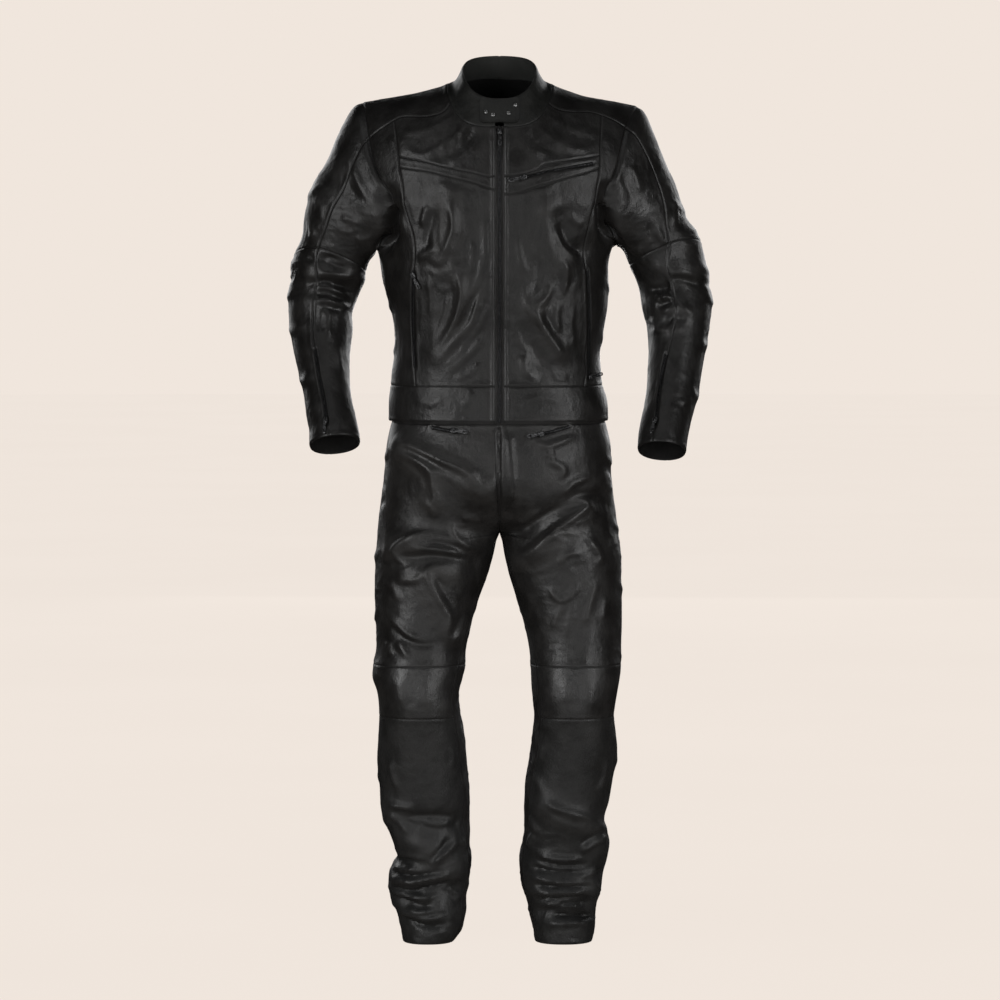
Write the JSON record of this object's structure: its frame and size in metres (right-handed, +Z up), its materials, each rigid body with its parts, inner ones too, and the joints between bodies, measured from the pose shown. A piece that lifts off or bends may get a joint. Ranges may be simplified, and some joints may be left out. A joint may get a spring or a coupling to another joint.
{
  "type": "motorcycle race suit",
  "caption": "Two-piece leather motorcycle suit in its worn, hollow form: zipped jacket with a standing collar over trousers with shaped knees.",
  "frame": {"origin": "on the middle line at the root of the neck, level with the shoulders that carry the suit", "axes": "+Z up, -Y towards the front of the suit, +X towards the wearer's left"},
  "size_m": [0.7409, 0.2802, 1.5518],
  "materials": {
    "leather": "soft black nappa, satin",
    "collar_leather": "soft black leather, duller than the body",
    "zip_tape": "woven black zip tape with black teeth",
    "metal": "darkened metal"
  },
  "bodies": {
    "root": {"collar_left": "collar_leather", "collar_right": "collar_leather", "collar_tab": "collar_leather", "collar_stud_1": "metal", "collar_stud_2": "metal", "collar_stud_3": "metal", "collar_stud_4": "metal", "yoke_left": "leather", "yoke_right": "leather", "upper_front_left": "leather", "upper_front_right": "leather", "chest_band_left": "leather", "chest_band_right": "leather", "lower_front_left": "leather", "lower_front_right": "leather", "side_front_left": "leather", "side_front_right": "leather", "hem_band_left": "leather", "hem_band_right": "leather", "back": "leather", "front_zip": "zip_tape", "front_slider": "metal", "chest_zip": "zip_tape", "chest_slider": "metal", "hand_pocket_zip_left": "zip_tape", "hand_pocket_zip_right": "zip_tape", "hand_pocket_slider_left": "metal", "hand_pocket_slider_right": "metal", "upper_sleeve_outer_left": "leather", "upper_sleeve_outer_right": "leather", "upper_sleeve_inner_left": "leather", "upper_sleeve_inner_right": "leather", "forearm_outer_left": "leather", "forearm_outer_right": "leather", "forearm_inner_left": "leather", "forearm_inner_right": "leather", "cuff_zip_left": "zip_tape", "cuff_zip_right": "zip_tape", "cuff_slider_left": "metal", "cuff_slider_right": "metal", "waistband_left": "leather", "waistband_right": "leather", "fly": "leather", "hip_pocket_zip_left": "zip_tape", "hip_pocket_zip_right": "zip_tape", "hip_pocket_slider_left": "metal", "hip_pocket_slider_right": "metal", "thigh_front_left": "leather", "thigh_front_right": "leather", "thigh_back_left": "leather", "thigh_back_right": "leather", "kneecap_left": "leather", "kneecap_right": "leather", "lower_leg_front_left": "leather", "lower_leg_front_right": "leather", "lower_leg_back_left": "leather", "lower_leg_back_right": "leather"}
  },
  "joints": []
}
